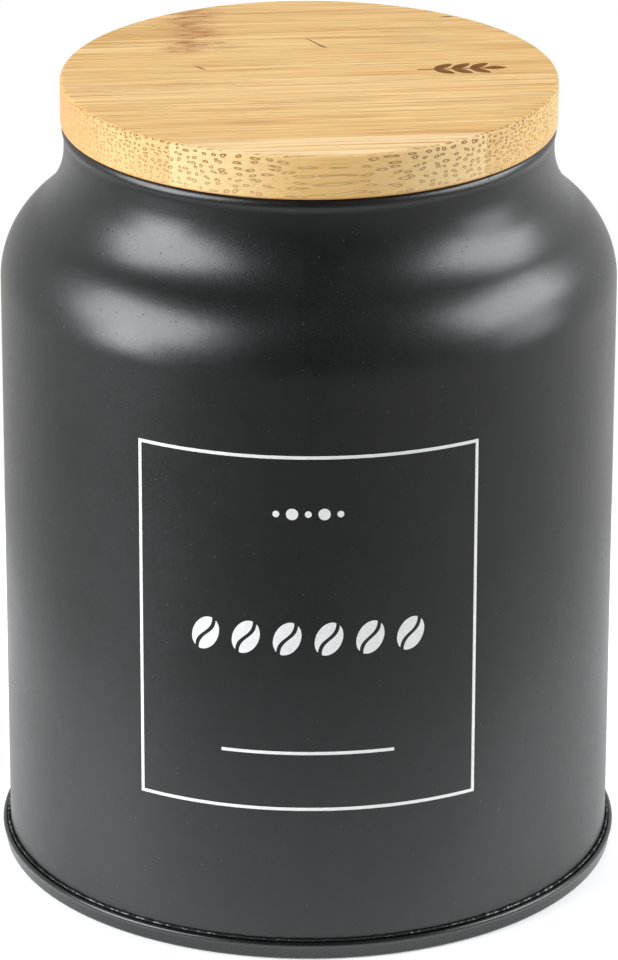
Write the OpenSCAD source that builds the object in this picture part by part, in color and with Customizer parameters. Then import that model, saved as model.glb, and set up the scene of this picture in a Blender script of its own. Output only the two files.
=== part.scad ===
// Round coffee tin with a shouldered neck and a lift-off bamboo lid.
// The frame's origin is the centre of the foot: +Z is up and -Y is the printed front.
// Millimetres and degrees throughout.

/* [Tin body] */
// Outer radius of the straight wall
body_r = 65; // [63:0.5:67]
// Height where the straight wall ends and the shoulder begins
wall_top = 128.8; // [125:0.1:140]
// Thickness of the steel sheet
sheet_t = 0.3; // [0.25:0.01:0.32]
// Radius of the round shoulder
shoulder_r = 19.2; // [18:0.1:20]
// Radius of the hollow sweep from the shoulder into the neck
neck_sweep_r = 18; // [17:0.1:19]
// How far the shoulder leans in before the neck turns it upright again
shoulder_turn = 50.7; // [48:0.1:52]
// Upright length of the neck below its curled rim
neck_h = 2; // [1:0.1:4]
// Radius of the curled rim round the mouth
curl_r = 1.45; // [1.2:0.05:1.6]

/* [Bottom seam] */
// Underside of the base panel above the table
panel_z = 4.6; // [4:0.1:6]
// Outer radius of the folded top edge of the seam
seam_fold_r = 0.6; // [0.58:0.01:0.62]

/* [Lid] */
// Thickness of the bamboo board
board_t = 9.5; // [8:0.1:11]
// How far the board reaches past the curled rim
overhang = 0.25; // [0:0.05:1]
// Width of one bamboo strip
strip_w = 19.4; // [18:0.1:21]
// Distance of the third glue line from the lid's centre
strip_shift = -2; // [-6:0.5:0]
// Turn of the grain from the left-right direction
grain_turn = 5.5; // [0:0.5:15]
// Depth of the plug below the board
plug_h = 8; // [7.5:0.1:9]
// Gap between the plug and the mouth
plug_gap = 1.85; // [1.5:0.05:2.5]

/* [Front print] */
// Height of the frame's lower line
frame_low = 34.3; // [25:0.1:40]
// Height of the frame's upper line
frame_high = 112.65; // [105:0.1:120]
// Angle from the front to each upright line of the frame
frame_half_turn = 31.84; // [28:0.1:36]
// Width of the printed lines
line_w = 0.7; // [0.6:0.05:1.2]
// Height of the short rule
rule_z = 47; // [42:0.5:55]
// Half the rule's angle round the wall
rule_half_turn = 15.9; // [10:0.1:22]
// Height of the row of beans
bean_z = 72.7; // [65:0.1:85]
// Length of one bean
bean_l = 7.6; // [6:0.1:9]
// Angle between neighbouring beans
bean_pitch = 7.55; // [7.2:0.05:9]
// Height of the row of dots
dot_z = 100.3; // [92:0.1:105]

/* [Burnt mark] */
// Distance of the mark's centre from the lid's centre, along the grain
mark_along = 32.3; // [20:0.1:36]
// Distance of the mark's centre from the lid's centre, across the grain
mark_across = 1.4; // [-5:0.1:8]
// Length of the whole mark
mark_l = 19; // [14:0.5:22]

/* [Hidden] */

// Full turns are drawn with this many sides; bends in a sheet with a point every few degrees
round_fn = 144;
bend_step = 4.5;

// Base panel, with two shallow beads pressed down into it
bead_r = 1.5;
bead_turn = 40;
bead_w = 4 * bead_r * sin(bead_turn);
bead_places = [24, 46];
panel_bend_r = 1;
chuck_gap = 0.04;
chuck_r = body_r - 2 * sheet_t - chuck_gap;

// Bottom seam: the base sheet runs under the foot, up the outside, and folds down
// over the hook that the wall's lower edge is bent into
seam_lean = 8;
foot_in_r = 0.5;
foot_flat = 0.33;
foot_out_r = 0.92;
seam_wall_l = 1.85;
bulge_r = 0.8;
bulge_turn = 22;
bulge_l = 0.25;
cover_hook_l = 2.15;
hook_bend_r = 0.2;
hook_l = 1.97;
hook_z = 0.93;

// Neck and rim
flare_r = 4;
flare_turn = 21.8;
curl_turn = 261;
neck_r = body_r - (shoulder_r + neck_sweep_r) * (1 - cos(shoulder_turn));
neck_z = wall_top + (shoulder_r + neck_sweep_r) * sin(shoulder_turn);
curl_centre_r = neck_r + flare_r - (flare_r + curl_r) * cos(flare_turn);
curl_centre_z = neck_z + neck_h + (flare_r + curl_r) * sin(flare_turn);
mouth_r = curl_centre_r - curl_r;

// Lid
lid_rest_gap = 0.05;
board_z = curl_centre_z + curl_r + lid_rest_gap;
board_r = curl_centre_r + curl_r + overhang;
board_top_round = 0.8;
board_low_round = 0.5;
plug_r = mouth_r - plug_gap;
plug_z = board_z - plug_h;
plug_chamfer = 0.8;
groove_low = plug_z + 2;
groove_high = board_z - 1.2;
groove_r = plug_r - 2.8;
plug_strips = 5;

// Seal ring
seal_gap = 0.3;
seal_band_r = plug_r - 0.8;
fin_tip_r = 0.3;
fin_reach = mouth_r - 0.25;
fin_root = 1.1;
fin_rise = 0.9;
fin_heights = [groove_low + 1, groove_low + 2.7];

// Weld, print and burnt mark
weld_t = 0.06;
weld_turn = 1;
weld_low = 5.5;
ink_t = 0.06;
burn_depth = 0.1;

// ---- Sheet-metal and turned sections ----
// A section is walked in steps: [length] is a straight run and [radius, turn] is a bend,
// with left turns positive. A place is [point, heading].

function heading_vector(a) = [cos(a), sin(a)];
function left_of(a) = [-sin(a), cos(a)];

function after_step(at, step) =
    len(step) == 1 ? [at[0] + step[0] * heading_vector(at[1]), at[1]]
    : let (k = sign(step[1]), centre = at[0] + k * step[0] * left_of(at[1]), turned = at[1] + step[1])
      [centre - k * step[0] * left_of(turned), turned];

function place(start, steps, n) =
    n == 0 ? start : after_step(place(start, steps, n - 1), steps[n - 1]);

function trace_step(at, step, offset) =
    len(step) == 1 ? [at[0] + offset * left_of(at[1])]
    : let (
        k = sign(step[1]),
        centre = at[0] + k * step[0] * left_of(at[1]),
        parts = ceil(abs(step[1]) / bend_step)
      )
      [for (i = [0:parts - 1])
          centre - (k * step[0] - offset) * left_of(at[1] + step[1] * i / parts)];

function trace(start, steps, offset) =
    let (last = place(start, steps, len(steps)))
    concat(
        [for (n = [0:len(steps) - 1]) each trace_step(place(start, steps, n), steps[n], offset)],
        [last[0] + offset * left_of(last[1])]
    );

function reversed(points) = [for (i = [len(points) - 1:-1:0]) points[i]];

// The section between two offsets to the left of a walk
module walked_section(start, steps, low, high) {
    polygon(concat(trace(start, steps, low), reversed(trace(start, steps, high))));
}

// ---- Tin ----
// Outer face of the wall from a height up to the neck
function wall_steps(from_z) = [
    [wall_top - from_z],
    [shoulder_r, shoulder_turn],
    [neck_sweep_r, -shoulder_turn],
    [neck_h]
];

module body_shell() {
    hook_turn = 180 - seam_lean;
    hook_foot = [
        body_r + hook_bend_r * (1 + cos(seam_lean)),
        hook_z - hook_bend_r * sin(seam_lean)
    ];
    hook_tip = hook_foot + hook_l * [sin(seam_lean), cos(seam_lean)];
    steps = concat(
        [[hook_l], [hook_bend_r, -hook_turn]],
        wall_steps(hook_z),
        [[flare_r, -flare_turn], [curl_r, curl_turn]]
    );
    color([0.13, 0.135, 0.135])
    rotate_extrude($fn = round_fn)
    walked_section([hook_tip, 270 - seam_lean], steps, 0, sheet_t);
}

// Welded overlap of the sheet's two ends, at the back, proud on both faces
module side_weld() {
    start = [[body_r, weld_low], 90];
    color([0.15, 0.15, 0.155])
    for (low = [-weld_t, sheet_t])
        rotate([0, 0, 90 - weld_turn / 2])
        rotate_extrude(angle = weld_turn, $fn = round_fn)
        walked_section(start, wall_steps(weld_low), low, low + weld_t);
}

// Walked outward from the centre of the panel
module base_end() {
    bead_steps = [[bead_r, -bead_turn], [bead_r, 2 * bead_turn], [bead_r, -bead_turn]];
    steps = concat(
        [[bead_places[0]]],
        bead_steps,
        [[bead_places[1] - bead_places[0] - bead_w]],
        bead_steps,
        [
            [chuck_r - panel_bend_r - bead_places[1] - bead_w],
            [panel_bend_r, -90],
            [panel_z - panel_bend_r - foot_in_r],
            [foot_in_r, 90],
            [foot_flat],
            [foot_out_r, 90 - seam_lean],
            [seam_wall_l],
            [bulge_r, -bulge_turn],
            [bulge_l],
            [seam_fold_r, 180 + bulge_turn],
            [cover_hook_l]
        ]
    );
    color([0.14, 0.145, 0.145])
    rotate_extrude($fn = round_fn)
    walked_section([[0, panel_z], 0], steps, 0, sheet_t);
}

// Sealing compound: the bead squeezed out beside the wall, and the two fills inside the folds
module seam_compound() {
    rings = [[0.37, 4.25, 0.34], [1.06, 3.46, 0.2], [0.2, 0.97, 0.14]];
    color([0.2, 0.2, 0.2])
    for (ring = rings)
        rotate_extrude($fn = round_fn)
        translate([body_r + ring[0], ring[1]])
        circle(r = ring[2], $fn = 32);
}

// ---- Front print ----
// A band of ink on the wall between two heights, over an angle either side of the front
module ink_band(low, high, half_turn) {
    rotate([0, 0, -90 - half_turn])
    rotate_extrude(angle = 2 * half_turn, $fn = round_fn)
    translate([body_r, low])
    square([ink_t, high - low]);
}

// Presses a flat outline on the wall at an angle from the front
module ink_shape(turn, z) {
    intersection() {
        difference() {
            cylinder(r = body_r + ink_t, h = wall_top, $fn = round_fn);
            translate([0, 0, -1])
            cylinder(r = body_r, h = wall_top + 2, $fn = round_fn);
        }
        rotate([0, 0, turn])
        translate([0, -body_r + 2, z])
        rotate([90, 0, 0])
        linear_extrude(height = 6)
        children();
    }
}

module label_frame() {
    half_w = line_w / 2;
    half_w_turn = half_w / body_r * 180 / PI;
    inner_half_turn = frame_half_turn - half_w_turn;
    color([0.9, 0.9, 0.9])
    difference() {
        ink_band(frame_low - half_w, frame_high + half_w, frame_half_turn + half_w_turn);
        rotate([0, 0, -90 - inner_half_turn])
        rotate_extrude(angle = 2 * inner_half_turn, $fn = round_fn)
        translate([body_r - 1, frame_low + half_w])
        square([2, frame_high - frame_low - line_w]);
    }
}

module label_rule() {
    color([0.9, 0.9, 0.9])
    ink_band(rule_z - line_w / 2, rule_z + line_w / 2, rule_half_turn);
}

// A coffee bean: an egg-round outline split by a curved crease
module bean() {
    half_l = bean_l / 2;
    half_w = 0.36 * bean_l;
    crease_w = 0.055 * bean_l;
    swing = 0.09 * bean_l;
    rotate(-24)
    difference() {
        polygon([for (a = [0:10:350]) [half_w * cos(a), half_l * sin(a)]]);
        polygon(concat(
            [for (s = [-1.1:0.1:1.1]) [swing * sin(150 * s) - crease_w, half_l * s]],
            [for (s = [1.1:-0.1:-1.1]) [swing * sin(150 * s) + crease_w, half_l * s]]
        ));
    }
}

module label_beans() {
    color([0.88, 0.88, 0.9])
    for (i = [-2.5:1:2.5])
        ink_shape(i * bean_pitch, bean_z) bean();
}

module label_dots() {
    pitch = 3.3;
    radii = [0.7, 1.25, 0.7, 1.25, 0.7];
    color([0.9, 0.9, 0.9])
    for (i = [0:4])
        ink_shape((i - 2) * pitch, dot_z) circle(r = radii[i], $fn = 48);
}

// ---- Lid ----
// Section of the board, round at its edges
module board_section() {
    polygon(trace(
        [[0, board_z], 0],
        [
            [board_r - board_low_round],
            [board_low_round, 90],
            [board_t - board_low_round - board_top_round],
            [board_top_round, 90],
            [board_r - board_top_round]
        ],
        0
    ));
}

// Section of the plug, with its groove for the seal and a small lead-in
module plug_section() {
    polygon([
        [0, plug_z],
        [plug_r - plug_chamfer, plug_z],
        [plug_r, plug_z + plug_chamfer],
        [plug_r, groove_low],
        [groove_r, groove_low],
        [groove_r, groove_high],
        [plug_r, groove_high],
        [plug_r, board_z],
        [0, board_z]
    ]);
}

// The space of one strip, between two lines across its width
module strip_space(low, high) {
    translate([-2 * board_r, low, plug_z - 1])
    cube([4 * board_r, high - low, plug_h + board_t + 2]);
}

// Strips are numbered from the front, and the mark is burnt into the fourth
module lid_strip(i) {
    low = i == 1 ? -2 * board_r : strip_shift + (i - 4) * strip_w;
    high = i == 6 ? 2 * board_r : strip_shift + (i - 3) * strip_w;
    shade = 0.02 * (i % 3);
    color([0.93 - shade, 0.78 - shade, 0.54 - shade])
    difference() {
        intersection() {
            rotate_extrude($fn = round_fn) board_section();
            rotate([0, 0, grain_turn]) strip_space(low, high);
        }
        if (i == 4) burnt_layer(2 * burn_depth);
    }
}

// Strips of the plug lie across the board's grain and are numbered from the left
module plug_strip(i) {
    half = strip_w * plug_strips / 2;
    low = i == 1 ? -2 * board_r : -half + (i - 1) * strip_w;
    high = i == plug_strips ? 2 * board_r : -half + i * strip_w;
    shade = 0.02 * (i % 2);
    color([0.9 - shade, 0.74 - shade, 0.5 - shade])
    intersection() {
        rotate_extrude($fn = round_fn) plug_section();
        rotate([0, 0, grain_turn - 90]) strip_space(low, high);
    }
}

// Silicone ring: a band in the plug's groove with soft fins that close on the rim
module seal_ring() {
    color([0.93, 0.93, 0.91])
    rotate_extrude($fn = round_fn)
    union() {
        translate([groove_r + seal_gap, groove_low + seal_gap])
        square([seal_band_r - groove_r - seal_gap, groove_high - groove_low - 2 * seal_gap]);
        for (z = fin_heights) {
            polygon([
                [seal_band_r - 0.3, z - fin_root / 2],
                [fin_reach - fin_tip_r, z + fin_rise - fin_tip_r],
                [fin_reach - fin_tip_r, z + fin_rise + fin_tip_r],
                [seal_band_r - 0.3, z + fin_root / 2]
            ]);
            translate([fin_reach - fin_tip_r, z + fin_rise])
            circle(r = fin_tip_r, $fn = 32);
        }
    }
}

// Pointed leaf between two arcs, from the origin along +X
module leaf(length, bulge) {
    arc_r = (length * length / 4 + bulge * bulge) / (2 * bulge);
    intersection_for (side = [-1, 1])
        translate([length / 2, side * (arc_r - bulge)])
        circle(r = arc_r, $fn = 96);
}

// A sprig of coffee leaves, standing on the floor of the burnt recess
module burnt_layer(height) {
    leaf_l = 5.4;
    leaf_bulge = 1.15;
    stem_w = 0.6;
    rotate([0, 0, grain_turn])
    translate([mark_along, mark_across, board_z + board_t - burn_depth])
    linear_extrude(height = height)
    union() {
        translate([-mark_l / 2, -stem_w / 2])
        square([mark_l - leaf_l + 1, stem_w]);
        translate([mark_l / 2 - leaf_l, 0]) leaf(leaf_l, leaf_bulge);
        for (x = [-0.32, -0.12, 0.08], side = [-1, 1])
            translate([mark_l * x, 0])
            rotate(side * 38)
            leaf(leaf_l, leaf_bulge);
    }
}

// The charred wood itself, level with the top of the board
module lid_mark() {
    color([0.5, 0.33, 0.18])
    burnt_layer(burn_depth);
}

body_shell();
side_weld();
base_end();
seam_compound();
label_frame();
label_rule();
label_beans();
label_dots();
seal_ring();
lid_strip(1);  // lid_strip_1
lid_strip(2);  // lid_strip_2
lid_strip(3);  // lid_strip_3
lid_strip(4);  // lid_strip_4
lid_strip(5);  // lid_strip_5
lid_strip(6);  // lid_strip_6
plug_strip(1);  // plug_strip_1
plug_strip(2);  // plug_strip_2
plug_strip(3);  // plug_strip_3
plug_strip(4);  // plug_strip_4
plug_strip(5);  // plug_strip_5
lid_mark();
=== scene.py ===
"""The looks of the coffee tin: a black painted tin with white print and a bamboo lid.

Sections and heights are in millimetres, as in the CAD part, and become metres in the meshes.
"""

import math

import bmesh
import bpy
from mathutils import Matrix, Vector, noise


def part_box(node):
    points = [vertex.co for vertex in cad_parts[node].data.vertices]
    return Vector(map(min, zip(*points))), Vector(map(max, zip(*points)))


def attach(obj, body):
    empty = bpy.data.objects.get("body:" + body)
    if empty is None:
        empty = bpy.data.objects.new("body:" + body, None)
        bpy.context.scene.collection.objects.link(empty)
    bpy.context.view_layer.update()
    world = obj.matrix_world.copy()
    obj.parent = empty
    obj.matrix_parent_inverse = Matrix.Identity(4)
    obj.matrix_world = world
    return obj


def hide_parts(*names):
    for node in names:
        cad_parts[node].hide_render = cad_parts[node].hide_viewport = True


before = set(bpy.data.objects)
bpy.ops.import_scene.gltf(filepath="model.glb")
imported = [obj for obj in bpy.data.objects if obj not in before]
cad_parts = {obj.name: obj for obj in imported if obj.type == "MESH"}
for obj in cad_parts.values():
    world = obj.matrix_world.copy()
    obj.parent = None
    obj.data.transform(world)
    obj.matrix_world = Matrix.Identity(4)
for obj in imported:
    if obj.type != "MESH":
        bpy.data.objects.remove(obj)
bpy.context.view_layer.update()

MM = 0.001

# ---- Dimensions of the part ----
# A bend is (radius, turn in degrees), with left turns positive
BODY_R = 65.0
WALL_TOP = 128.8
SHEET_T = 0.3
SHOULDER = (19.2, 50.7)
NECK_SWEEP = (18.0, -50.7)
NECK_H = 2.0
FLARE = (4.0, -21.8)
CURL = (1.45, 261.0)
HOOK_L = 1.97
HOOK_Z = 0.93
HOOK_BEND_R = 0.2
SEAM_LEAN = 8.0
PANEL_Z = 4.6
CHUCK_R = 64.36
CHUCK_BEND_R = 1.0
FOOT_BEND_R = 0.5
FOOT_W = 0.33
# The base beyond its foot: up the outside, over the top of the seam and down behind it
SEAM_COVER = ((0.92, 90 - SEAM_LEAN), (1.85,), (0.8, -22), (0.25,), (0.6, 202), (2.15,))
BEAD = (1.5, 40.0)
BEAD_PLACES = (24.0, 46.0)
# Each ring of compound: gap to the wall's face, height and radius of its section
OUTER_BEAD = (0.37, 4.25, 0.34)
HIDDEN_BEADS = ((1.06, 3.46, 0.2), (0.2, 0.97, 0.14))

INK_T = 0.06
LINE_W = 0.7
PRINT_STEP = 0.4
FRAME_LOW = 34.3
FRAME_HIGH = 112.65
FRAME_TURN = 31.84
RULE_Z = 47.0
RULE_TURN = 15.9
BEANS = 6
BEAN_Z = 72.7
BEAN_L = 7.6
BEAN_PITCH = 7.55
BEAN_TILT = -24.0
DOT_Z = 100.3
DOT_PITCH = 3.3
DOT_RADII = (0.7, 1.25, 0.7, 1.25, 0.7)

BOARD_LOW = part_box("lid_strip_3")[0].z / MM
BOARD_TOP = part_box("lid_strip_3")[1].z / MM
BOARD_R = 52.002
BOARD_TOP_ROUND = 0.8
BOARD_LOW_ROUND = 0.5
# Flat run beside each round, which keeps the large faces flat in shade
FACE_EDGE = 0.5
STRIP_W = 19.4
STRIP_SHIFT = -2.0
GRAIN_TURN = 5.5
BOARD_STRIPS = 6
MARKED_STRIP = 4
MARK_SINK = 0.05
RECESS_OVERCUT = 1.0
PLUG_STRIPS = 5

# Fineness of the round shapes
WALL_SIDES = 384
OUTER_BEAD_SIDES = 2000
HIDDEN_BEAD_SIDES = 256
BOARD_SIDES = 720
CHORD_ERROR = 0.003
SHARP_EDGE = math.radians(40)


# ---- Mesh helpers ----
def walk(start, heading, steps, offset):
    """Points of a section walked from start: (length,) is a straight run and (radius, turn) a bend.
    Left turns are positive, and the points lie offset to the left of the walk."""
    points = []
    x, z = start
    for step in steps:
        a = math.radians(heading)
        if len(step) == 1:
            points.append((x - offset * math.sin(a), z + offset * math.cos(a)))
            x += step[0] * math.cos(a)
            z += step[0] * math.sin(a)
            continue
        radius, turn = step
        side = math.copysign(1.0, turn)
        centre = (x - side * radius * math.sin(a), z + side * radius * math.cos(a))
        finest = 2 * math.degrees(math.acos(1 - CHORD_ERROR / max(radius, 0.05)))
        parts = max(3, math.ceil(abs(turn) / finest))
        reach = side * radius - offset
        for i in range(parts):
            b = a + math.radians(turn) * i / parts
            points.append((centre[0] + reach * math.sin(b), centre[1] - reach * math.cos(b)))
        heading += turn
        b = math.radians(heading)
        x = centre[0] + side * radius * math.sin(b)
        z = centre[1] - side * radius * math.cos(b)
    b = math.radians(heading)
    points.append((x - offset * math.sin(b), z + offset * math.cos(b)))
    return points


def sheet_section(start, heading, steps):
    """The outline of a bent sheet whose one face is the walk."""
    return walk(start, heading, steps, 0) + walk(start, heading, steps, SHEET_T)[::-1]


def on_wall(angle, z, radius):
    """A point at an angle in radians from the front, positive to the right."""
    return Vector((radius * math.sin(angle), -radius * math.cos(angle), z)) * MM


def lathe(bm, section, sides, closed, shape=None):
    """Turns a section round the Z axis. shape(angle, radius, height) may move each point."""
    rings = []
    for radius, z in section:
        if radius < 1e-6:
            rings.append([bm.verts.new((0, 0, z * MM))] * sides)
            continue
        ring = []
        for i in range(sides):
            angle = 2 * math.pi * i / sides
            r, h = shape(angle, radius, z) if shape else (radius, z)
            ring.append(bm.verts.new(on_wall(angle, h, r)))
        rings.append(ring)
    count = len(rings)
    for n in range(count if closed else count - 1):
        low, high = rings[n], rings[(n + 1) % count]
        for i in range(sides):
            j = (i + 1) % sides
            corners = [low[i], low[j], high[j], high[i]]
            unique = list(dict.fromkeys(corners))
            if len(unique) > 2:
                bm.faces.new(unique)


def fill_grid(bm, rows):
    """Joins rows of equally many vertices with quads."""
    for low, high in zip(rows, rows[1:]):
        for i in range(len(low) - 1):
            bm.faces.new((low[i], low[i + 1], high[i + 1], high[i]))


def add_skirt(bm):
    """Closes a raised patch of ink down to the wall behind it."""
    rim = [e for e in bm.edges if len(e.link_faces) == 1]
    made = bmesh.ops.extrude_edge_only(bm, edges=rim)["geom"]
    for v in made:
        if isinstance(v, bmesh.types.BMVert):
            foot = Vector((v.co.x, v.co.y, 0)).normalized() * BODY_R * MM
            v.co.x, v.co.y = foot.x, foot.y


def shade(bm):
    """Smooth shading that stops at every edge sharper than SHARP_EDGE."""
    for face in bm.faces:
        face.smooth = True
    for edge in bm.edges:
        edge.smooth = edge.calc_face_angle(0.0) < SHARP_EDGE


def make_piece(name, bm, material, body, stands_for=()):
    """A finished piece that rides on a body and stands for CAD nodes."""
    bmesh.ops.recalc_face_normals(bm, faces=bm.faces)
    shade(bm)
    mesh = bpy.data.meshes.new(name)
    bm.to_mesh(mesh)
    bm.free()
    mesh.materials.append(material)
    piece = bpy.data.objects.new(name, mesh)
    bpy.context.scene.collection.objects.link(piece)
    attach(piece, body)
    if stands_for:
        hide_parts(*stands_for)
    return piece


# ---- Material helpers ----
def srgb(red, green, blue):
    """A display colour, 0 to 255, as the linear colour that the shader takes."""
    def linear(v):
        v /= 255
        return v / 12.92 if v <= 0.04045 else ((v + 0.055) / 1.055) ** 2.4
    return (linear(red), linear(green), linear(blue), 1.0)


class Look:
    """A material under construction. Each method adds a node and returns its output."""

    def __init__(self, name):
        self.material = bpy.data.materials.new(name)
        self.material.use_nodes = True
        self.tree = self.material.node_tree
        self.shader = self.tree.nodes["Principled BSDF"]

    def add(self, kind, inputs, **settings):
        node = self.tree.nodes.new("ShaderNode" + kind)
        for key, value in settings.items():
            setattr(node, key, value)
        for key, value in inputs.items():
            self.put(value, node.inputs[key])
        return node

    def put(self, value, socket):
        if isinstance(value, bpy.types.NodeSocket):
            self.tree.links.new(value, socket)
        else:
            socket.default_value = value

    def finish(self, **inputs):
        for key, value in inputs.items():
            self.put(value, self.shader.inputs[key.replace("_", " ")])
        return self.material

    def place(self, turn=0.0, scale=(1, 1, 1), shift=(0, 0, 0)):
        """The piece's own coordinates in millimetres, turned about Z, then stretched and shifted."""
        own = self.add("TexCoord", {}).outputs["Object"]
        turned = self.add("Mapping", {
            "Vector": own,
            "Scale": (1 / MM, 1 / MM, 1 / MM),
            "Rotation": (0, 0, -math.radians(turn)),
        }).outputs["Vector"]
        return self.stretch(turned, scale, shift)

    def stretch(self, vector, scale, shift=(0, 0, 0)):
        return self.add("Mapping", {
            "Vector": vector, "Scale": scale, "Location": shift,
        }).outputs["Vector"]

    def math(self, operation, a, b=0.0, clamp=False):
        return self.add("Math", {0: a, 1: b}, operation=operation, use_clamp=clamp).outputs[0]

    def noise(self, vector, scale=1.0, detail=2.0, rough=0.5, colour=False):
        node = self.add("TexNoise", {
            "Vector": vector, "Scale": scale, "Detail": detail, "Roughness": rough,
        })
        return node.outputs["Color" if colour else "Fac"]

    def remap(self, value, low, high, to_low=0.0, to_high=1.0, smooth=True):
        node = self.add("MapRange", {
            "Value": value, "From Min": low, "From Max": high,
            "To Min": to_low, "To Max": to_high,
        }, interpolation_type="SMOOTHSTEP" if smooth else "LINEAR")
        return node.outputs["Result"]

    def mix(self, factor, a, b, blend="MIX"):
        node = self.add("Mix", {}, data_type="RGBA", blend_type=blend)
        self.put(factor, node.inputs[0])
        self.put(a, node.inputs[6])
        self.put(b, node.inputs[7])
        return node.outputs[2]

    def split(self, vector):
        node = self.add("SeparateXYZ", {"Vector": vector})
        return node.outputs["X"], node.outputs["Y"], node.outputs["Z"]

    def join(self, x, y, z=0.0):
        return self.add("CombineXYZ", {"X": x, "Y": y, "Z": z}).outputs["Vector"]

    def bump(self, height, distance, strength=1.0, normal=None):
        inputs = {"Height": height, "Distance": distance, "Strength": strength}
        if normal is not None:
            inputs["Normal"] = normal
        return self.add("Bump", inputs).outputs["Normal"]


# ---- Materials ----
def paint_look(name, rough_level, relief):
    """Satin black lacquer with a fine orange peel, a little haze, dust and tiny craters."""
    look = Look(name)
    place = look.place()
    haze = look.noise(place, 0.03, detail=3)
    cloud = look.noise(place, 0.22, detail=3)
    grain = look.noise(place, 2.2, detail=3)
    peel = look.noise(place, 0.5)
    specks = look.add("TexVoronoi", {"Vector": place, "Scale": 1.0, "Randomness": 1.0})
    chance = look.split(specks.outputs["Color"])
    size = look.remap(chance[0], 0.6, 1.0, 0.0, 0.13, False)
    dust = look.math("LESS_THAN", specks.outputs["Distance"], size)
    pits = look.add("TexVoronoi", {"Vector": place, "Scale": 0.9, "Randomness": 1.0})
    hole = look.remap(look.split(pits.outputs["Color"])[0], 0.6, 1.0, 0.0, 0.16, False)
    pit = look.math("LESS_THAN", pits.outputs["Distance"], hole)
    body = look.mix(grain, srgb(12, 13, 13), srgb(20, 21, 21))
    body = look.mix(look.remap(cloud, 0.35, 0.65, 0.0, 0.5), body, srgb(25, 25, 26))
    body = look.mix(dust, body, look.mix(chance[1], srgb(48, 50, 50), srgb(104, 107, 107)))
    rough = look.math("ADD", look.remap(haze, 0.3, 0.7, rough_level - 0.02, rough_level + 0.03),
                      look.remap(grain, 0.3, 0.7, -0.02, 0.03))
    rough = look.math("ADD", rough, look.math("MULTIPLY", pit, 0.4), clamp=True)
    fine = look.bump(grain, 0.014 * relief * MM, normal=look.bump(peel, 0.02 * relief * MM))
    return look.finish(
        Base_Color=body,
        Roughness=rough,
        Specular_IOR_Level=0.75,
        Normal=look.bump(pit, -0.12 * MM, normal=fine),
    )


def ink_look():
    """Screen-printed white ink, slightly uneven in cover."""
    look = Look("white_screen_ink")
    place = look.place()
    cover = look.noise(place, 1.1, detail=4)
    weave = look.noise(place, 5.0)
    colour = look.mix(look.remap(cover, 0.3, 0.75), srgb(253, 253, 251), srgb(243, 243, 242))
    return look.finish(
        Base_Color=colour,
        Roughness=look.remap(weave, 0.3, 0.7, 0.42, 0.55),
        Normal=look.bump(weave, 0.01 * MM),
    )


def compound_look():
    """Painted-over sealing compound: lumpy, and wet or dull in patches."""
    look = Look("painted_compound")
    blotch = look.noise(look.place(scale=(0.9, 0.9, 0.9)), detail=3)
    lumps = look.noise(look.place(scale=(0.8, 0.8, 0.8), shift=(7, 3, 1)), detail=2)
    dull = look.noise(look.place(scale=(0.42, 0.42, 0.42), shift=(2, 9, 4)), detail=2)
    dull = look.remap(dull, 0.49, 0.53)
    return look.finish(
        Base_Color=look.mix(blotch, srgb(20, 21, 21), srgb(40, 41, 41)),
        Roughness=look.remap(dull, 0.0, 1.0, 0.14, 0.75, False),
        Specular_IOR_Level=look.remap(dull, 0.0, 1.0, 0.85, 0.3, False),
        Normal=look.bump(lumps, 0.3 * MM),
    )


def silicone_look():
    """Milky silicone with a soft, slightly dusty face."""
    look = Look("milky_silicone")
    place = look.place()
    cloud = look.noise(place, 0.15, detail=3)
    dust = look.noise(place, 3.0)
    return look.finish(
        Base_Color=look.mix(cloud, srgb(236, 236, 230), srgb(222, 223, 218)),
        Roughness=look.remap(dust, 0.3, 0.7, 0.4, 0.55),
        Subsurface_Weight=0.25,
        Subsurface_Scale=0.002,
        Normal=look.bump(dust, 0.01 * MM),
    )


def joint_band(look, grain, x, half_width, strength, streak):
    """How strongly a culm joint darkens the wood round the place x along the grain."""
    along = look.split(grain)[0]
    wave = look.noise(look.stretch(grain, (0.12, 0.35, 0.35), (x, 0, 0)), detail=2)
    sway = look.remap(wave, 0.2, 0.8, -5.0, 5.0, False)
    off = look.math("ADD", look.math("SUBTRACT", along, x), sway)
    near = look.remap(look.math("ABSOLUTE", off), 0.0, half_width, strength, 0.0)
    return look.math("MULTIPLY", near, streak)


def scar_mask(look, grain, scar):
    """A short dark scar on the top of the board: place, length, width and turn."""
    x, y, length, width, turn = scar
    local = look.add("Mapping", {
        "Vector": grain, "Location": (x, y, 0), "Rotation": (0, 0, math.radians(turn)),
        "Scale": (length / 2, width / 2, 1),
    }, vector_type="TEXTURE").outputs["Vector"]
    lx, ly, lz = look.split(local)
    flat = look.add("VectorMath", {0: look.join(lx, ly)}, operation="LENGTH").outputs["Value"]
    shape = look.remap(flat, 0.35, 1.0, 1.0, 0.0)
    return look.math("MULTIPLY", shape, look.remap(lz, BOARD_TOP - 1.2, BOARD_TOP - 0.6))


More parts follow.
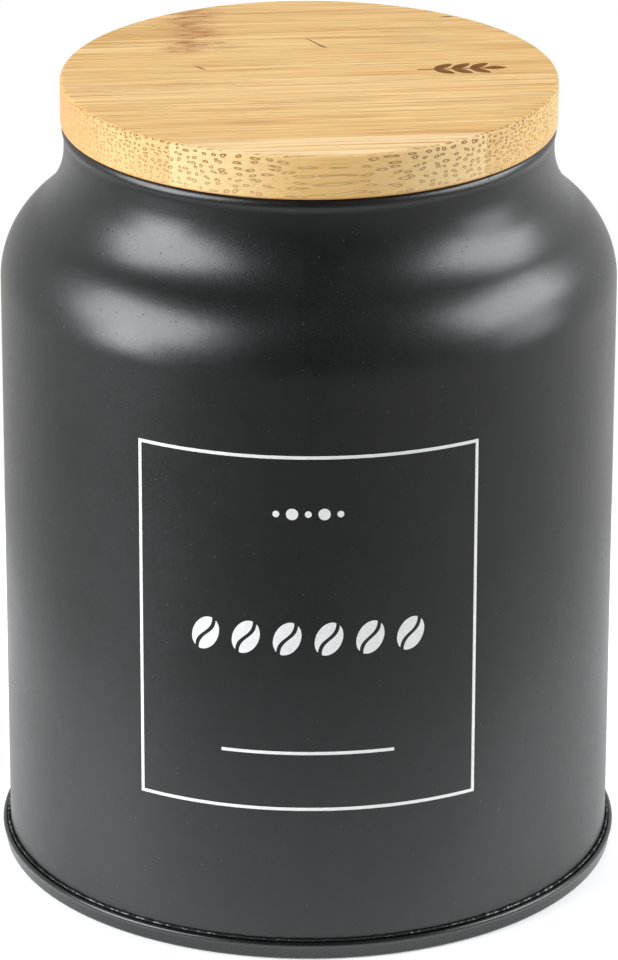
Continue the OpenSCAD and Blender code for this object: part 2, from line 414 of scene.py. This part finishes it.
def bundle_masks(look, grain, seed, pitch, endness):
    """Vascular bundles that are cut across, as masks of their rings and of their cores. They
    crowd towards the top of the board, and fade where the cut runs along them."""
    _, across, up = look.split(grain)
    height = look.remap(up, BOARD_LOW, BOARD_TOP, 0.0, 1.0, False)
    face = look.remap(up, BOARD_TOP - 0.25, BOARD_TOP - 0.04)
    drift = look.noise(look.stretch(grain, (0.09, 0.3, 0.3), (seed, seed, 0)), colour=True)
    drift_u, drift_v, _ = look.split(drift)
    u = look.math("ADD", across, look.remap(drift_u, 0.25, 0.75, -0.5, 0.5, False))
    v = look.math("ADD", up, look.remap(drift_v, 0.25, 0.75, -0.4, 0.4, False))
    cells = look.add("TexVoronoi", {
        "Vector": look.stretch(look.join(u, v), (1 / pitch[0], 1 / pitch[1], 1.0), (seed, 0, 0)),
        "Scale": 1.0, "Randomness": 0.62,
    }, voronoi_dimensions="2D")
    reach = cells.outputs["Distance"]
    chance = look.split(cells.outputs["Color"])
    size = look.remap(chance[0], 0.0, 1.0, 0.15, 0.21, False)
    edge = look.math("ABSOLUTE", look.math("SUBTRACT", reach, size))
    ring = look.remap(edge, 0.03, 0.12, 1.0, 0.0)
    crowd = look.math("ADD", chance[1], look.math("MULTIPLY", height, 0.7))
    present = look.remap(crowd, 0.15, 0.4)
    depth = look.remap(height, 0.0, 1.0, 0.45, 1.0, False)
    bundle = look.math("MULTIPLY", look.math("MULTIPLY", ring, present), depth)
    bundle = look.math("MULTIPLY", bundle, look.remap(face, 0.0, 1.0, 1.0, 0.22, False))
    bundle = look.math("MULTIPLY", bundle, look.remap(endness, 0.0, 1.0, 0.5, 1.0, False))
    core = look.math("MULTIPLY", look.remap(reach, 0.05, 0.14, 1.0, 0.0), present)
    core = look.math("MULTIPLY", core, look.remap(face, 0.0, 1.0, 0.5, 0.1, False))
    return bundle, core


def fibre_tones(look, grain, seed):
    """Long fibres: the whole tone, its streaks and its finest lines, each from 0 to 1."""
    broad = look.noise(look.stretch(grain, (0.012, 0.12, 0.12), (seed, 0, 0)), detail=2)
    streak = look.noise(look.stretch(grain, (0.016, 1.2, 1.2), (0, seed, 0)), detail=4, rough=0.65)
    fibre = look.noise(look.stretch(grain, (0.03, 3.1, 3.1), (0, seed, seed)), detail=2, rough=0.5)
    tone = look.math("ADD", look.remap(streak, 0.35, 0.65, 0.0, 0.55, False),
                     look.remap(fibre, 0.35, 0.65, 0.0, 0.45, False))
    tone = look.math("ADD", tone, look.remap(broad, 0.3, 0.7, -0.15, 0.15, False), clamp=True)
    return tone, streak, fibre


def bamboo_look(name, turn, seed, pale, dark, pitch, bands=(), scars=(), rim_painted_light=0.3):
    """Plain bamboo: long fibres along the grain, and vascular bundles that show as small rings
    where they are cut across. The pattern fills space, so faces, ends and edges agree."""
    look = Look(name)
    grain = look.place(turn)
    along, across, up = look.split(grain)
    out = look.add("VectorMath", {0: look.join(along, across)}, operation="LENGTH").outputs["Value"]
    rim = look.remap(out, BOARD_R - 0.3, BOARD_R - 0.05)
    endness = look.remap(look.math("DIVIDE", look.math("ABSOLUTE", along), out), 0.05, 0.45)
    bundle, core = bundle_masks(look, grain, seed, pitch, endness)
    tone, streak, fibre = fibre_tones(look, grain, seed)

    wood = look.mix(tone, pale, dark)
    thread = look.remap(fibre, 0.55, 0.64, 0.0, 0.8)
    wood = look.mix(thread, wood, srgb(184, 132, 68))
    gleam = look.remap(streak, 0.3, 0.42, 0.4, 0.0)
    wood = look.mix(gleam, wood, srgb(255, 228, 164))
    # Painted light: the lid's side and its round edges are paled towards a light tint. The tint is
    # warmer where the side runs along the grain and paler on end grain. The amount is set per strip.
    rim_light_tint = look.mix(endness, srgb(255, 208, 130), srgb(255, 222, 162))
    wood = look.mix(look.math("MULTIPLY", rim, rim_painted_light), wood, rim_light_tint)
    wood = look.mix(core, wood, srgb(250, 222, 168))
    wood = look.mix(bundle, wood, srgb(150, 84, 18))

    dashes = look.noise(look.stretch(grain, (0.25, 1.7, 1.7), (seed, 0, 0)), detail=3, rough=0.6)
    dashes = look.remap(dashes, 0.5, 0.6, 0.3, 1.0)
    for band in bands:
        wood = look.mix(joint_band(look, grain, *band, dashes), wood, srgb(158, 96, 34))
    for scar in scars:
        wood = look.mix(scar_mask(look, grain, scar), wood, srgb(96, 48, 18))
    # Painted shade: a warm, darker orange band along the lower round edge of the lid's side.
    low_edge_shade = look.remap(up, BOARD_LOW + 0.15, BOARD_LOW + 0.7, 0.55, 0.0)
    low_edge_shade = look.math("MULTIPLY", low_edge_shade, rim)
    wood = look.mix(low_edge_shade, wood, srgb(214, 128, 60))
    # Painted shade: the lid's side at the -X end of the grain, towards the left key light at rest,
    # is darkened and warmed. This end grain's own darker tone is part of it, but the other end is
    # left pale.
    end_shade = look.remap(along, -BOARD_R, -0.75 * BOARD_R, 0.6, 0.0)
    wood = look.mix(look.math("MULTIPLY", end_shade, rim), wood, srgb(212, 148, 90))

    relief = look.math("SUBTRACT", look.math("MULTIPLY", fibre, 0.4),
                       look.math("MULTIPLY", bundle, 0.8))
    return look.finish(
        Base_Color=wood,
        Roughness=look.remap(tone, 0.0, 1.0, 0.5, 0.62),
        Specular_IOR_Level=0.25,
        Normal=look.bump(relief, 0.06 * MM),
    )


def burnt_look():
    """Laser-scorched bamboo: the grain still shows through the brown."""
    look = Look("scorched_bamboo")
    grain = look.place(GRAIN_TURN)
    streak = look.noise(look.stretch(grain, (0.08, 2.0, 2.0)), detail=3)
    soot = look.noise(grain, 1.5, detail=3)
    colour = look.mix(look.remap(streak, 0.35, 0.65), srgb(146, 94, 42), srgb(106, 64, 27))
    colour = look.mix(look.remap(soot, 0.5, 0.75, 0.0, 0.5), colour, srgb(74, 43, 18))
    return look.finish(
        Base_Color=colour,
        Roughness=0.8,
        Specular_IOR_Level=0.15,
        Normal=look.bump(soot, 0.05 * MM),
    )


paint = paint_look("black_lacquer", 0.33, 1.0)
seam_paint = paint_look("black_lacquer_seam", 0.27, 0.3)
ink = ink_look()


# ---- Tin ----
def build_shell():
    """The wall, shoulder, neck and curled rim, from the tip of the hook in the bottom seam."""
    lean = math.radians(SEAM_LEAN)
    foot = (BODY_R + HOOK_BEND_R * (1 + math.cos(lean)), HOOK_Z - HOOK_BEND_R * math.sin(lean))
    tip = (foot[0] + HOOK_L * math.sin(lean), foot[1] + HOOK_L * math.cos(lean))
    steps = [(HOOK_L,), (HOOK_BEND_R, SEAM_LEAN - 180), (WALL_TOP - HOOK_Z,),
             SHOULDER, NECK_SWEEP, (NECK_H,), FLARE, CURL]
    bm = bmesh.new()
    lathe(bm, sheet_section(tip, 270 - SEAM_LEAN, steps), WALL_SIDES, closed=True)
    make_piece("tin_wall", bm, paint, "tin", ["body_shell"])


def build_base():
    """The base panel with its two beads, and the cover of the bottom seam."""
    radius, turn = BEAD
    bead_w = 4 * radius * math.sin(math.radians(turn))
    bead = [(radius, -turn), (radius, 2 * turn), (radius, -turn)]
    steps = [(BEAD_PLACES[0],), *bead, (BEAD_PLACES[1] - BEAD_PLACES[0] - bead_w,), *bead,
             (CHUCK_R - CHUCK_BEND_R - BEAD_PLACES[1] - bead_w,), (CHUCK_BEND_R, -90),
             (PANEL_Z - CHUCK_BEND_R - FOOT_BEND_R,), (FOOT_BEND_R, 90), (FOOT_W,), *SEAM_COVER]
    section = sheet_section((0, PANEL_Z), 0, steps)
    widest = max(radius for radius, z in section)
    low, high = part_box("base_end")
    squeeze = min(-low.x, -low.y, high.x, high.y) / MM / widest
    section = [(radius * squeeze, z) for radius, z in section]
    bm = bmesh.new()
    lathe(bm, section, WALL_SIDES, closed=False)
    make_piece("tin_base", bm, seam_paint, "tin", ["base_end"])


def build_compound():
    """Sealing compound. The outer bead is uneven, which helps to break its highlight up."""
    def section(gap, z, thickness):
        turns = [math.radians(30 * i) for i in range(12)]
        return [(BODY_R + gap + thickness * math.cos(a), z + thickness * math.sin(a)) for a in turns]

    def uneven(angle, r, h):
        gap, z, _ = OUTER_BEAD
        radius = BODY_R + gap
        at = Vector((math.cos(angle), math.sin(angle), 0)) * BODY_R
        lump = noise.noise(at * 0.6) * 0.5 + noise.noise(at * 1.3) * 0.3
        grow = min(0.86 + lump * 0.6, 1.08)
        return radius + (r - radius) * grow, z + (h - z) * grow + lump * 0.15

    bm = bmesh.new()
    lathe(bm, section(*OUTER_BEAD), OUTER_BEAD_SIDES, closed=True, shape=uneven)
    for ring in HIDDEN_BEADS:
        lathe(bm, section(*ring), HIDDEN_BEAD_SIDES, closed=True)
    make_piece("seam_bead", bm, compound_look(), "tin", ["seam_compound"])


# ---- Print ----
def ink_ribbon(bm, path, width):
    """A printed line along (angle, height) points, with slightly ragged edges and a rounded top."""
    across = (-1.0, -0.8, 0.0, 0.8, 1.0)
    rise = (0.55, 0.95, 1.0, 0.95, 0.55)
    rows = []
    for n, (angle, z) in enumerate(path):
        ahead = path[min(n + 1, len(path) - 1)]
        behind = path[max(n - 1, 0)]
        run = ((ahead[0] - behind[0]) * BODY_R, ahead[1] - behind[1])
        length = math.hypot(*run)
        normal = (-run[1] / length, run[0] / length)
        row = []
        for k, share in enumerate(across):
            place = (angle * BODY_R, z, share)
            ragged = 1 + 0.05 * noise.noise(Vector((place[0] * 1.3, place[1] * 1.3, share * 3)))
            off = share * width / 2 * ragged
            row.append(bm.verts.new(on_wall(
                angle + normal[0] * off / BODY_R, z + normal[1] * off, BODY_R + INK_T * rise[k])))
        rows.append(row)
    fill_grid(bm, rows)


def level_path(z, half_turn):
    """Points along a level line, evenly to both sides of the front."""
    half = math.radians(half_turn)
    count = round(2 * half * BODY_R / PRINT_STEP)
    return [(-half + 2 * half * i / count, z) for i in range(count + 1)]


def upright_path(turn, low, high):
    """Points along an upright line."""
    count = round((high - low) / PRINT_STEP)
    return [(math.radians(turn), low + (high - low) * i / count) for i in range(count + 1)]


def build_frame_print():
    """The frame's four lines, and the rule inside it."""
    half_w = LINE_W / 2
    half_w_turn = math.degrees(half_w / BODY_R)
    bm = bmesh.new()
    for z in (FRAME_LOW, FRAME_HIGH):
        ink_ribbon(bm, level_path(z, FRAME_TURN + half_w_turn), LINE_W)
    for turn in (-FRAME_TURN, FRAME_TURN):
        ink_ribbon(bm, upright_path(turn, FRAME_LOW + half_w, FRAME_HIGH - half_w), LINE_W)
    add_skirt(bm)
    make_piece("print_frame", bm, ink, "tin", ["label_frame"])
    bm = bmesh.new()
    ink_ribbon(bm, level_path(RULE_Z, RULE_TURN), LINE_W)
    add_skirt(bm)
    make_piece("print_rule", bm, ink, "tin", ["label_rule"])


def bean_rows(bm, turn, side):
    """Half of a coffee bean, from its curved crease to its round edge."""
    half_l, half_w = BEAN_L / 2, 0.36 * BEAN_L
    crease_w, swing, crease_turn = 0.055 * BEAN_L, 0.09 * BEAN_L, 150
    tilt = math.radians(BEAN_TILT)
    steps, columns = 60, 9
    narrowest = 0.02
    rows = []
    for n in range(steps + 1):
        s = math.sin(math.radians(-90 + 180 * n / steps))
        edge = half_w * math.sqrt(max(0.0, 1 - s * s))
        crease = swing * math.sin(math.radians(crease_turn * s)) + side * crease_w
        near = max(-edge, crease) if side > 0 else -edge
        far = edge if side > 0 else min(edge, crease)
        if far - near < narrowest:
            continue
        row = []
        for k in range(columns):
            share = k / (columns - 1)
            x, y = near + (far - near) * share, half_l * s
            px = x * math.cos(tilt) - y * math.sin(tilt)
            py = x * math.sin(tilt) + y * math.cos(tilt)
            ragged = 0.03 * noise.noise(Vector((px * 1.7 + turn, py * 1.7, side)))
            row.append(bm.verts.new(on_wall(
                math.radians(turn) + (px + ragged) / BODY_R, BEAN_Z + py + ragged, BODY_R + INK_T)))
        rows.append(row)
    fill_grid(bm, rows)


def build_beans_print():
    """A row of coffee beans, evenly to both sides of the front."""
    bm = bmesh.new()
    for i in range(BEANS):
        for side in (-1, 1):
            bean_rows(bm, (i - (BEANS - 1) / 2) * BEAN_PITCH, side)
    add_skirt(bm)
    make_piece("print_beans", bm, ink, "tin", ["label_beans"])


def build_dots_print():
    """A row of small and larger dots, evenly to both sides of the front."""
    bm = bmesh.new()
    sides = 64
    for i, size in enumerate(DOT_RADII):
        centre = (i - (len(DOT_RADII) - 1) / 2) * DOT_PITCH
        hub = bm.verts.new(on_wall(centre / BODY_R, DOT_Z, BODY_R + INK_T))
        rings = []
        for share in (0.35, 0.7, 1.0):
            ring = []
            for k in range(sides):
                a = 2 * math.pi * k / sides
                ragged = 1 + 0.02 * noise.noise(Vector((3 * math.cos(a), 3 * math.sin(a), i)))
                x = centre + size * share * ragged * math.cos(a)
                z = DOT_Z + size * share * ragged * math.sin(a)
                ring.append(bm.verts.new(on_wall(x / BODY_R, z, BODY_R + INK_T)))
            rings.append(ring)
        for k in range(sides):
            j = (k + 1) % sides
            bm.faces.new((hub, rings[0][k], rings[0][j]))
            for low, high in zip(rings, rings[1:]):
                bm.faces.new((low[k], high[k], high[j], low[j]))
    add_skirt(bm)
    make_piece("print_dots", bm, ink, "tin", ["label_dots"])


# ---- Lid ----
# Pale and dark ends of the grain
PALE = srgb(239, 200, 137)
DARK = srgb(214, 166, 99)
MILD = srgb(226, 182, 116)
PALER = srgb(243, 206, 146)
PALEST = srgb(248, 217, 168)
DEEPER = srgb(207, 158, 92)
# Each strip's own grain. A band is a culm joint: its place along the grain, half its width and
# its strength. A scar is its place along and across the grain, length, width and turn.
BOARD_LOOKS = {
    # Strip 1 lies at the front of the lid at rest. Its palest tones and its strong rim paling are
    # partly its own paler wood and partly painted light for the front, where no lamp shines.
    1: dict(seed=5.6, pale=PALEST, dark=MILD, pitch=(1.0, 1.25), rim_painted_light=0.75),
    2: dict(seed=11.7, pale=PALE, dark=DARK, pitch=(1.1, 0.95), bands=[(52.0, 9.0, 0.35)]),
    3: dict(seed=23.4, pale=PALER, dark=DARK, pitch=(1.0, 0.95)),
    4: dict(seed=37.9, pale=PALE, dark=DARK, pitch=(1.0, 1.1), scars=[(-22.2, 6.5, 5.0, 0.7, -55)]),
    5: dict(seed=41.2, pale=PALE, dark=DEEPER, pitch=(0.95, 1.0), bands=[(-23.0, 9.0, 1.0)],
            scars=[(3.2, 21.7, 9.3, 0.6, -63), (4.6, 19.0, 3.6, 0.9, -55)]),
    6: dict(seed=59.5, pale=PALE, dark=DEEPER, pitch=(1.0, 1.2), bands=[(-22.0, 9.0, 0.95)],
            scars=[(33.0, 37.0, 4.0, 1.2, 5)]),
}


def board_section():
    """Half the board's outline, from its middle below to its middle on top."""
    steps = [(BOARD_R - BOARD_LOW_ROUND - FACE_EDGE,), (FACE_EDGE,), (BOARD_LOW_ROUND, 90),
             (BOARD_TOP - BOARD_LOW - BOARD_LOW_ROUND - BOARD_TOP_ROUND,), (BOARD_TOP_ROUND, 90),
             (FACE_EDGE,), (BOARD_R - BOARD_TOP_ROUND - FACE_EDGE,)]
    return walk((0, BOARD_LOW), 0, steps, 0)


def cut_between(bm, turn, low, high):
    """Keeps what lies between two upright planes across the strips, and closes the cuts."""
    a = math.radians(turn)
    across = Vector((-math.sin(a), math.cos(a), 0))
    for place, outward in ((low, -1), (high, 1)):
        if place is None:
            continue
        bmesh.ops.bisect_plane(
            bm, geom=bm.verts[:] + bm.edges[:] + bm.faces[:], dist=1e-8,
            plane_co=across * place * MM, plane_no=across * outward, clear_outer=True)
        open_edges = [e for e in bm.edges if len(e.link_faces) == 1]
        bmesh.ops.edgeloop_fill(bm, edges=open_edges)


def build_board():
    """Strips side by side, each cut from the same turned board."""
    half_count = BOARD_STRIPS // 2
    for i in range(1, BOARD_STRIPS + 1):
        bm = bmesh.new()
        lathe(bm, board_section()[1:-1], BOARD_SIDES, closed=False)
        for ring_z in (BOARD_LOW, BOARD_TOP):
            loop = [e for e in bm.edges if len(e.link_faces) == 1
                    and all(abs(v.co.z / MM - ring_z) < 1e-4 for v in e.verts)]
            bmesh.ops.edgeloop_fill(bm, edges=loop)
        low = None if i == 1 else STRIP_SHIFT + (i - 1 - half_count) * STRIP_W
        high = None if i == BOARD_STRIPS else STRIP_SHIFT + (i - half_count) * STRIP_W
        cut_between(bm, GRAIN_TURN, low, high)
        look = bamboo_look(f"bamboo_{i}", GRAIN_TURN, **BOARD_LOOKS[i])
        piece = make_piece(f"board_{i}", bm, look, "lid", [f"lid_strip_{i}"])
        if i == MARKED_STRIP:
            engrave(piece)


def mark_solid(top_shift):
    """A copy of the burnt mark's solid with its top moved up or down, in millimetres."""
    low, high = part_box("lid_mark")
    middle = (low.z + high.z) / 2
    bm = bmesh.new()
    bm.from_mesh(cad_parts["lid_mark"].data)
    bmesh.ops.remove_doubles(bm, verts=bm.verts, dist=1e-7)
    for v in bm.verts:
        if v.co.z > middle:
            v.co.z += top_shift * MM
    return bm


def engrave(piece):
    """Sinks the mark's recess into a strip, and keeps its edges crisp."""
    bm = mark_solid(RECESS_OVERCUT)
    mesh = bpy.data.meshes.new("recess")
    bmesh.ops.recalc_face_normals(bm, faces=bm.faces)
    bm.to_mesh(mesh)
    bm.free()
    cutter = bpy.data.objects.new("recess", mesh)
    bpy.context.scene.collection.objects.link(cutter)
    cut = piece.modifiers.new("recess", "BOOLEAN")
    cut.operation = "DIFFERENCE"
    cut.solver = "EXACT"
    cut.object = cutter
    bpy.context.view_layer.update()
    cut_piece = piece.evaluated_get(bpy.context.evaluated_depsgraph_get())
    settled = bpy.data.meshes.new_from_object(cut_piece)
    piece.modifiers.clear()
    bpy.data.objects.remove(cutter)
    bm = bmesh.new()
    bm.from_mesh(settled)
    shade(bm)
    bm.to_mesh(settled)
    bm.free()
    piece.data = settled


def build_mark():
    """The scorched wood, a little below the top of the board."""
    bm = mark_solid(-MARK_SINK)
    make_piece("burnt_sprig", bm, burnt_look(), "lid", ["lid_mark"])


def dress_cad_nodes():
    """Materials for the CAD nodes that show as they are."""
    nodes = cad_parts
    nodes["side_weld"].data.materials.clear()
    nodes["side_weld"].data.materials.append(paint)
    nodes["seal_ring"].data.materials.clear()
    nodes["seal_ring"].data.materials.append(silicone_look())
    for i in range(1, PLUG_STRIPS + 1):
        look = bamboo_look(f"plug_bamboo_{i}", GRAIN_TURN - 90, seed=70 + 9.1 * i,
                           pale=PALER, dark=DARK, pitch=(1.0, 1.4))
        data = nodes[f"plug_strip_{i}"].data
        data.materials.clear()
        data.materials.append(look)


build_shell()
build_base()
build_compound()
build_frame_print()
build_beans_print()
build_dots_print()
build_board()
build_mark()
dress_cad_nodes()


# ---- Studio ----
FLOOR_R = 200.0
FLOOR_SIDES = 192
# The room's glow: a direction, and how strongly it shines from there
ROOM_GLOW = (
    ((0, 0, -1), 0.5),
    ((0, 1, 0), 0.75),
    ((1, 0, 0), 0.34),
    ((-1, 0, 0), 0.2),
)
# Name, azimuth, elevation, width, height and power of each light. Azimuth 0 is over the
# camera and 90 is to its right; sizes are in metres and powers in watts.
SOFTBOXES = (
    ("key_left", -67, 27, 0.86, 0.53, 10.0),
    ("low_left", -68, 4, 0.4, 0.28, 2.9),
    ("key_right", 87, 29, 0.8, 0.48, 7.4),
    ("low_right", 86, 4, 0.4, 0.28, 1.25),
    ("back", 180, 64, 0.5, 0.5, 1.7),
)
LIGHT_COLOUR = (0.955, 0.985, 1.0)
LIGHT_DISTANCE = 0.95
AIM_HEIGHT = 0.09

CAMERA_PLACE = (0.0, -1.1589, 0.5519)
CAMERA_PITCH = 0.3856
CAMERA_YAW = 0.00011
CAMERA_ROLL = 0.00205
CAMERA_LENS = 218.95
CAMERA_SENSOR = 36.0


def build_floor():
    """A pale floor that glows white behind the object."""
    look = Look("pale_floor")
    place = look.place()
    tone = look.noise(place, 0.002, detail=1)
    toward_back = look.split(place)[1]
    material = look.finish(
        Base_Color=look.mix(tone, (0.9, 0.9, 0.9, 1), (0.88, 0.88, 0.88, 1)),
        Roughness=0.9,
        Emission_Color=(1, 1, 1, 1),
        Emission_Strength=look.remap(toward_back, -110.0, -60.0, 0.0, 0.38),
    )
    bm = bmesh.new()
    bmesh.ops.create_circle(bm, cap_ends=True, radius=FLOOR_R * MM, segments=FLOOR_SIDES)
    mesh = bpy.data.meshes.new("floor")
    bm.to_mesh(mesh)
    bm.free()
    mesh.materials.append(material)
    floor = bpy.data.objects.new("floor", mesh)
    bpy.context.scene.collection.objects.link(floor)


def build_world():
    """White behind the object for the camera, and a soft graded room for everything else."""
    world = bpy.data.worlds.new("studio")
    bpy.context.scene.world = world
    world.use_nodes = True
    tree = world.node_tree
    toward = tree.nodes.new("ShaderNodeTexCoord").outputs["Generated"]
    total = None
    for axis, strength in ROOM_GLOW:
        dot = tree.nodes.new("ShaderNodeVectorMath")
        dot.operation = "DOT_PRODUCT"
        dot.inputs[1].default_value = axis
        tree.links.new(toward, dot.inputs[0])
        part = tree.nodes.new("ShaderNodeMath")
        part.operation = "MAXIMUM"
        part.inputs[1].default_value = 0.0
        tree.links.new(dot.outputs["Value"], part.inputs[0])
        lit = tree.nodes.new("ShaderNodeMath")
        lit.operation = "MULTIPLY_ADD"
        lit.inputs[1].default_value = strength
        lit.inputs[2].default_value = 0.0
        tree.links.new(part.outputs[0], lit.inputs[0])
        if total is not None:
            tree.links.new(total, lit.inputs[2])
        total = lit.outputs[0]
    seen = tree.nodes.new("ShaderNodeMath")
    seen.operation = "MAXIMUM"
    tree.links.new(total, seen.inputs[0])
    tree.links.new(tree.nodes.new("ShaderNodeLightPath").outputs["Is Camera Ray"], seen.inputs[1])
    tree.links.new(seen.outputs[0], tree.nodes["Background"].inputs["Strength"])
    tree.nodes["Background"].inputs["Color"].default_value = (1, 1, 1, 1)


def softbox(name, azimuth, elevation, width, height, power):
    """A soft light that faces the middle of the tin."""
    a, e = math.radians(azimuth), math.radians(elevation)
    toward = Vector((math.sin(a) * math.cos(e), -math.cos(a) * math.cos(e), math.sin(e)))
    data = bpy.data.lights.new(name, "AREA")
    data.shape = "RECTANGLE"
    data.size, data.size_y = width, height
    data.energy = power
    data.color = LIGHT_COLOUR
    light = bpy.data.objects.new(name, data)
    light.location = Vector((0, 0, AIM_HEIGHT)) + toward * LIGHT_DISTANCE
    light.rotation_mode = "QUATERNION"
    light.rotation_quaternion = toward.to_track_quat("Z", "Y")
    light.visible_camera = False
    bpy.context.scene.collection.objects.link(light)


def build_camera():
    """A long lens in front of the tin, looking down at it."""
    data = bpy.data.cameras.new("camera")
    data.lens = CAMERA_LENS
    data.sensor_width = CAMERA_SENSOR
    data.clip_start, data.clip_end = 0.05, 50
    camera = bpy.data.objects.new("camera", data)
    bpy.context.scene.collection.objects.link(camera)
    level = Vector((math.sin(CAMERA_YAW), math.cos(CAMERA_YAW), 0))
    forward = level * math.cos(CAMERA_PITCH) - Vector((0, 0, math.sin(CAMERA_PITCH)))
    right = Vector((level.y, -level.x, 0))
    up = right.cross(forward)
    x = right * math.cos(CAMERA_ROLL) + up * math.sin(CAMERA_ROLL)
    y = up * math.cos(CAMERA_ROLL) - right * math.sin(CAMERA_ROLL)
    turn = Matrix((x, y, -forward)).transposed()
    camera.matrix_world = Matrix.Translation(CAMERA_PLACE) @ turn.to_4x4()
    bpy.context.scene.camera = camera


build_floor()
build_world()
for light in SOFTBOXES:
    softbox(*light)
build_camera()
bpy.context.scene.view_settings.view_transform = "Standard"
